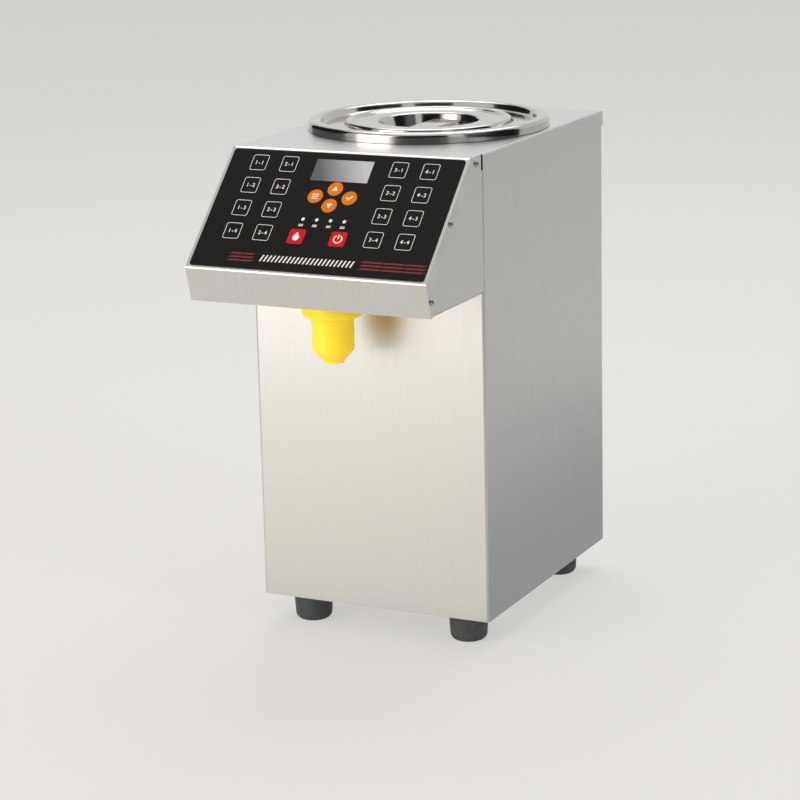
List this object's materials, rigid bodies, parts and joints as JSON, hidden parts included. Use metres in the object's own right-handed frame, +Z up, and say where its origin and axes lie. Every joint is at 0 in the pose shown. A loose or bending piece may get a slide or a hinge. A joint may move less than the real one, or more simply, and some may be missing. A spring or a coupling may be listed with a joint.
{
  "type": "fructose dispenser",
  "caption": "Countertop syrup dispenser: stainless casing with a sloping key panel, lift-off lid, heated tank, gear pump and nozzle.",
  "frame": {"origin": "middle of the dispenser's footprint, on the surface it stands on", "axes": "+Z up, the front with the key panel and nozzle faces -Y, +X is to the right as one faces the front"},
  "size_m": [0.2464, 0.4203, 0.4915],
  "materials": {
    "brushed_steel": "brushed stainless sheet",
    "polished_steel": "polished stainless sheet",
    "key_film": "printed film, black",
    "orange_keys": "printed film, orange",
    "red_keys": "printed film, red",
    "display": "grey display window",
    "black_plastic": "moulded, black",
    "lamps": "white lamps",
    "circuit_board": "green circuit board",
    "switches": "moulded, dark grey",
    "zinc_steel": "zinc plated",
    "rubber_feet": "dark grey rubber",
    "silicone": "milky silicone",
    "heater_mat": "silicone heating mat",
    "pump_steel": "machined stainless",
    "motor_case": "grey",
    "yellow_plastic": "moulded, yellow"
  },
  "bodies": {
    "casing": {"casing_wrap": "brushed_steel", "back_panel": "brushed_steel", "base_plate": "brushed_steel", "top_cover": "brushed_steel", "head_shell": "brushed_steel", "control_panel": "brushed_steel", "keypad_overlay": "key_film", "display_window": "display", "display_module": "black_plastic", "indicator_leds": "lamps", "keypad_board": "circuit_board", "key_switches": "switches", "board_fixings": "zinc_steel", "cover_screws": "zinc_steel", "feet": "rubber_feet", "foot_screws": "zinc_steel", "tank": "polished_steel", "tank_gasket": "silicone", "tank_outlet": "zinc_steel", "heater_band": "heater_mat", "suction_hose": "silicone", "pump_body": "pump_steel", "pump_cover": "pump_steel", "pump_bracket": "zinc_steel", "motor": "motor_case", "delivery_hose": "silicone", "nozzle": "yellow_plastic", "nozzle_nut": "yellow_plastic", "main_board": "circuit_board", "power_supply": "zinc_steel", "power_inlet": "black_plastic", "switch_housing": "black_plastic", "wiring": "black_plastic"},
    "lid": {"lid": "polished_steel", "lid_handle": "polished_steel"},
    "drive_gear": {"drive_gear": "pump_steel"},
    "driven_gear": {"driven_gear": "pump_steel"},
    "power_rocker": {"power_rocker": "red_keys"},
    "key_up": {"key_up": "orange_keys"},
    "key_down": {"key_down": "orange_keys"},
    "key_left": {"key_left": "orange_keys"},
    "key_right": {"key_right": "orange_keys"},
    "key_rinse": {"key_rinse": "red_keys"},
    "key_pour": {"key_pour": "red_keys"},
    "key_1_1": {"key_1_1": "key_film"},
    "key_1_2": {"key_1_2": "key_film"},
    "key_1_3": {"key_1_3": "key_film"},
    "key_1_4": {"key_1_4": "key_film"},
    "key_2_1": {"key_2_1": "key_film"},
    "key_2_2": {"key_2_2": "key_film"},
    "key_2_3": {"key_2_3": "key_film"},
    "key_2_4": {"key_2_4": "key_film"},
    "key_3_1": {"key_3_1": "key_film"},
    "key_3_2": {"key_3_2": "key_film"},
    "key_3_3": {"key_3_3": "key_film"},
    "key_3_4": {"key_3_4": "key_film"},
    "key_4_1": {"key_4_1": "key_film"},
    "key_4_2": {"key_4_2": "key_film"},
    "key_4_3": {"key_4_3": "key_film"},
    "key_4_4": {"key_4_4": "key_film"}
  },
  "joints": [
    {"name": "lid_lift", "type": "slide", "parent": "casing", "child": "lid", "axis": [0, 0, 1], "range_m": [0, 0.12]},
    {"name": "pump_drive_spin", "type": "hinge", "parent": "casing", "child": "drive_gear", "pos_m": [0, 0.0007, 0.075], "axis": [1, 0, 0], "continuous": true},
    {"name": "pump_idler_spin", "type": "hinge", "parent": "casing", "child": "driven_gear", "pos_m": [0, 0.0007, 0.0991], "axis": [1, 0, 0], "continuous": true},
    {"name": "power_rocker_tilt", "type": "hinge", "parent": "casing", "child": "power_rocker", "pos_m": [0.05, 0.2025, 0.1], "axis": [1, 0, 0], "range_deg": [0, 16]},
    {"name": "key_up_press", "type": "slide", "parent": "casing", "child": "key_up", "axis": [0, 0.7009, -0.7133], "range_m": [0, 0.0005], "stiffness_N_per_m": 3200},
    {"name": "key_down_press", "type": "slide", "parent": "casing", "child": "key_down", "axis": [0, 0.7009, -0.7133], "range_m": [0, 0.0005], "stiffness_N_per_m": 3200},
    {"name": "key_left_press", "type": "slide", "parent": "casing", "child": "key_left", "axis": [0, 0.7009, -0.7133], "range_m": [0, 0.0005], "stiffness_N_per_m": 3200},
    {"name": "key_right_press", "type": "slide", "parent": "casing", "child": "key_right", "axis": [0, 0.7009, -0.7133], "range_m": [0, 0.0005], "stiffness_N_per_m": 3200},
    {"name": "key_rinse_press", "type": "slide", "parent": "casing", "child": "key_rinse", "axis": [0, 0.7009, -0.7133], "range_m": [0, 0.0005], "stiffness_N_per_m": 3200},
    {"name": "key_pour_press", "type": "slide", "parent": "casing", "child": "key_pour", "axis": [0, 0.7009, -0.7133], "range_m": [0, 0.0005], "stiffness_N_per_m": 3200},
    {"name": "key_1_1_press", "type": "slide", "parent": "casing", "child": "key_1_1", "axis": [0, 0.7009, -0.7133], "range_m": [0, 0.0005], "stiffness_N_per_m": 3200},
    {"name": "key_1_2_press", "type": "slide", "parent": "casing", "child": "key_1_2", "axis": [0, 0.7009, -0.7133], "range_m": [0, 0.0005], "stiffness_N_per_m": 3200},
    {"name": "key_1_3_press", "type": "slide", "parent": "casing", "child": "key_1_3", "axis": [0, 0.7009, -0.7133], "range_m": [0, 0.0005], "stiffness_N_per_m": 3200},
    {"name": "key_1_4_press", "type": "slide", "parent": "casing", "child": "key_1_4", "axis": [0, 0.7009, -0.7133], "range_m": [0, 0.0005], "stiffness_N_per_m": 3200},
    {"name": "key_2_1_press", "type": "slide", "parent": "casing", "child": "key_2_1", "axis": [0, 0.7009, -0.7133], "range_m": [0, 0.0005], "stiffness_N_per_m": 3200},
    {"name": "key_2_2_press", "type": "slide", "parent": "casing", "child": "key_2_2", "axis": [0, 0.7009, -0.7133], "range_m": [0, 0.0005], "stiffness_N_per_m": 3200},
    {"name": "key_2_3_press", "type": "slide", "parent": "casing", "child": "key_2_3", "axis": [0, 0.7009, -0.7133], "range_m": [0, 0.0005], "stiffness_N_per_m": 3200},
    {"name": "key_2_4_press", "type": "slide", "parent": "casing", "child": "key_2_4", "axis": [0, 0.7009, -0.7133], "range_m": [0, 0.0005], "stiffness_N_per_m": 3200},
    {"name": "key_3_1_press", "type": "slide", "parent": "casing", "child": "key_3_1", "axis": [0, 0.7009, -0.7133], "range_m": [0, 0.0005], "stiffness_N_per_m": 3200},
    {"name": "key_3_2_press", "type": "slide", "parent": "casing", "child": "key_3_2", "axis": [0, 0.7009, -0.7133], "range_m": [0, 0.0005], "stiffness_N_per_m": 3200},
    {"name": "key_3_3_press", "type": "slide", "parent": "casing", "child": "key_3_3", "axis": [0, 0.7009, -0.7133], "range_m": [0, 0.0005], "stiffness_N_per_m": 3200},
    {"name": "key_3_4_press", "type": "slide", "parent": "casing", "child": "key_3_4", "axis": [0, 0.7009, -0.7133], "range_m": [0, 0.0005], "stiffness_N_per_m": 3200},
    {"name": "key_4_1_press", "type": "slide", "parent": "casing", "child": "key_4_1", "axis": [0, 0.7009, -0.7133], "range_m": [0, 0.0005], "stiffness_N_per_m": 3200},
    {"name": "key_4_2_press", "type": "slide", "parent": "casing", "child": "key_4_2", "axis": [0, 0.7009, -0.7133], "range_m": [0, 0.0005], "stiffness_N_per_m": 3200},
    {"name": "key_4_3_press", "type": "slide", "parent": "casing", "child": "key_4_3", "axis": [0, 0.7009, -0.7133], "range_m": [0, 0.0005], "stiffness_N_per_m": 3200},
    {"name": "key_4_4_press", "type": "slide", "parent": "casing", "child": "key_4_4", "axis": [0, 0.7009, -0.7133], "range_m": [0, 0.0005], "stiffness_N_per_m": 3200}
  ],
  "couplings": [
    {"joint": "pump_idler_spin", "follows": "pump_drive_spin", "ratio": -1}
  ]
}
